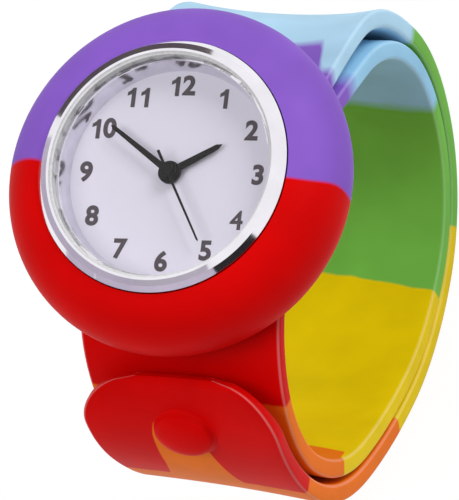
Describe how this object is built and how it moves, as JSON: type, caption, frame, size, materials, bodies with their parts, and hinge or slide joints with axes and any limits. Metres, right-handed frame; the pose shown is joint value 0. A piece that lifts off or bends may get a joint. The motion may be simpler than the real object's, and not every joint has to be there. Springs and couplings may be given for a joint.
{
  "type": "toy watch",
  "caption": "Child's slap-on watch: round quartz watch in a rainbow silicone head ring, on a curled silicone strap with a spring-steel strip.",
  "frame": {"origin": "the middle of the wrist space inside the curled strap, below the dial's centre", "axes": "+Z out of the dial, +Y to 12 o'clock, +X to 3 o'clock and along the wrist"},
  "size_m": [0.04, 0.0605, 0.068],
  "materials": {
    "silicone_purple": "satin moulded silicone",
    "silicone_red": "satin moulded silicone",
    "silicone_blue": "satin moulded silicone",
    "silicone_green": "satin moulded silicone",
    "silicone_yellow": "satin moulded silicone",
    "silicone_orange": "satin moulded silicone",
    "spring_steel": "cold-rolled spring steel",
    "chrome_plate": "polished chrome plating",
    "lens_glass": "clear mineral glass",
    "gasket": "moulded gasket",
    "dial_print": "pale printed dial",
    "hand_black": "black lacquer",
    "white_plastic": "moulded acetal",
    "brass": "turned and plated brass",
    "works_steel": "nickel-plated steel",
    "copper_wire": "enamelled copper winding",
    "circuit_board": "coated board",
    "magnet": "sintered magnet"
  },
  "bodies": {
    "band": {"head_ring": "silicone_purple", "inner_band": "silicone_red", "inner_steel": "spring_steel"},
    "link_1": {"outer_band_1": "silicone_purple", "outer_steel_1": "spring_steel"},
    "link_2": {"outer_band_2": "silicone_blue", "outer_steel_2": "spring_steel"},
    "link_3": {"outer_band_3": "silicone_blue", "outer_steel_3": "spring_steel"},
    "link_4": {"outer_band_4": "silicone_green", "outer_steel_4": "spring_steel"},
    "link_5": {"outer_band_5": "silicone_green", "outer_steel_5": "spring_steel"},
    "link_6": {"outer_band_6": "silicone_yellow", "outer_steel_6": "spring_steel"},
    "link_7": {"outer_band_7": "silicone_yellow", "outer_steel_7": "spring_steel"},
    "link_8": {"outer_band_8": "silicone_orange", "outer_steel_8": "spring_steel"},
    "link_9": {"outer_band_9": "silicone_red"},
    "watch": {"case": "chrome_plate", "lens": "lens_glass", "lens_gasket": "gasket", "inner_ring": "chrome_plate", "dial": "dial_print", "movement_holder": "white_plastic", "main_plate": "brass", "train_bridge": "works_steel", "bridge_screws": "works_steel", "coil": "copper_wire", "coil_core": "works_steel", "stator": "works_steel", "circuit_board": "circuit_board", "quartz_can": "chrome_plate", "button_cell": "works_steel", "cell_clamp": "brass", "back_gasket": "gasket", "case_back": "works_steel"},
    "second": {"second_hand": "hand_black", "seconds_wheel": "brass"},
    "minute": {"minute_hand": "hand_black", "centre_wheel": "brass"},
    "hour": {"hour_hand": "hand_black", "hour_wheel": "white_plastic"},
    "third": {"third_wheel": "brass"},
    "motion": {"minute_wheel": "white_plastic"},
    "intermediate": {"intermediate_wheel": "white_plastic"},
    "rotor": {"rotor": "magnet"},
    "lever": {"setting_lever": "works_steel"},
    "crown": {"crown": "chrome_plate", "stem": "works_steel"}
  },
  "joints": [
    {"name": "strap_hinge_1", "type": "hinge", "parent": "band", "child": "link_1", "pos_m": [0, 0.0025, 0.02835], "axis": [1, 0, 0], "range_deg": [0, 9]},
    {"name": "strap_hinge_2", "type": "hinge", "parent": "link_1", "child": "link_2", "pos_m": [0, 0.01238, 0.02496], "axis": [1, 0, 0], "range_deg": [0, 24.5]},
    {"name": "strap_hinge_3", "type": "hinge", "parent": "link_2", "child": "link_3", "pos_m": [0, 0.02551, 0.0124], "axis": [1, 0, 0], "range_deg": [0, 22]},
    {"name": "strap_hinge_4", "type": "hinge", "parent": "link_3", "child": "link_4", "pos_m": [0, 0.03044, -0.00613], "axis": [1, 0, 0], "range_deg": [0, 43]},
    {"name": "strap_hinge_5", "type": "hinge", "parent": "link_4", "child": "link_5", "pos_m": [0, 0.02341, -0.02312], "axis": [1, 0, 0], "range_deg": [0, 50], "stiffness_Nm_per_rad": 0.1, "springref_deg": -45.84},
    {"name": "strap_hinge_6", "type": "hinge", "parent": "link_5", "child": "link_6", "pos_m": [0, 0.00592, -0.02863], "axis": [1, 0, 0], "range_deg": [0, 42]},
    {"name": "strap_hinge_7", "type": "hinge", "parent": "link_6", "child": "link_7", "pos_m": [0, -0.01078, -0.02102], "axis": [1, 0, 0], "range_deg": [0, 21]},
    {"name": "strap_hinge_8", "type": "hinge", "parent": "link_7", "child": "link_8", "pos_m": [0, -0.02355, -0.00803], "axis": [1, 0, 0], "range_deg": [0, 24]},
    {"name": "strap_hinge_9", "type": "hinge", "parent": "link_8", "child": "link_9", "pos_m": [0, -0.03028, 0.00917], "axis": [1, 0, 0], "range_deg": [0, 43]},
    {"name": "watch_pop_out", "type": "slide", "parent": "band", "child": "watch", "axis": [0, 0, 1], "range_m": [0, 0.012]},
    {"name": "second_hand_turn", "type": "hinge", "parent": "watch", "child": "second", "pos_m": [0, 0, 0.035], "axis": [0, 0, -1], "continuous": true},
    {"name": "minute_hand_turn", "type": "hinge", "parent": "watch", "child": "minute", "pos_m": [0, 0, 0.035], "axis": [0, 0, -1], "continuous": true},
    {"name": "hour_hand_turn", "type": "hinge", "parent": "watch", "child": "hour", "pos_m": [0, 0, 0.035], "axis": [0, 0, -1], "continuous": true},
    {"name": "third_wheel_turn", "type": "hinge", "parent": "watch", "child": "third", "pos_m": [0.00248, -0.00208, 0.035], "axis": [0, 0, -1], "continuous": true},
    {"name": "minute_wheel_turn", "type": "hinge", "parent": "watch", "child": "motion", "pos_m": [-0.0009, -0.00248, 0.035], "axis": [0, 0, -1], "continuous": true},
    {"name": "intermediate_wheel_turn", "type": "hinge", "parent": "watch", "child": "intermediate", "pos_m": [-0.0012, 0.00329, 0.035], "axis": [0, 0, -1], "continuous": true},
    {"name": "rotor_turn", "type": "hinge", "parent": "watch", "child": "rotor", "pos_m": [-0.00012, 0.00516, 0.035], "axis": [0, 0, -1], "continuous": true},
    {"name": "crown_pull", "type": "slide", "parent": "watch", "child": "lever", "axis": [1, 0, 0], "range_m": [0, 0.001]},
    {"name": "crown_turn", "type": "hinge", "parent": "lever", "child": "crown", "pos_m": [0.014, 0, 0.03255], "axis": [1, 0, 0], "continuous": true}
  ],
  "couplings": [
    {"joint": "strap_hinge_1", "follows": "strap_hinge_5", "ratio": 0.18},
    {"joint": "strap_hinge_2", "follows": "strap_hinge_5", "ratio": 0.49},
    {"joint": "strap_hinge_3", "follows": "strap_hinge_5", "ratio": 0.44},
    {"joint": "strap_hinge_4", "follows": "strap_hinge_5", "ratio": 0.86},
    {"joint": "strap_hinge_6", "follows": "strap_hinge_5", "ratio": 0.84},
    {"joint": "strap_hinge_7", "follows": "strap_hinge_5", "ratio": 0.42},
    {"joint": "strap_hinge_8", "follows": "strap_hinge_5", "ratio": 0.48},
    {"joint": "strap_hinge_9", "follows": "strap_hinge_5", "ratio": 0.86},
    {"joint": "minute_hand_turn", "follows": "second_hand_turn", "ratio": 0.016667},
    {"joint": "hour_hand_turn", "follows": "second_hand_turn", "ratio": 0.0013889},
    {"joint": "third_wheel_turn", "follows": "second_hand_turn", "ratio": -0.125},
    {"joint": "minute_wheel_turn", "follows": "second_hand_turn", "ratio": -0.0055556},
    {"joint": "intermediate_wheel_turn", "follows": "second_hand_turn", "ratio": -6},
    {"joint": "rotor_turn", "follows": "second_hand_turn", "ratio": 30}
  ]
}
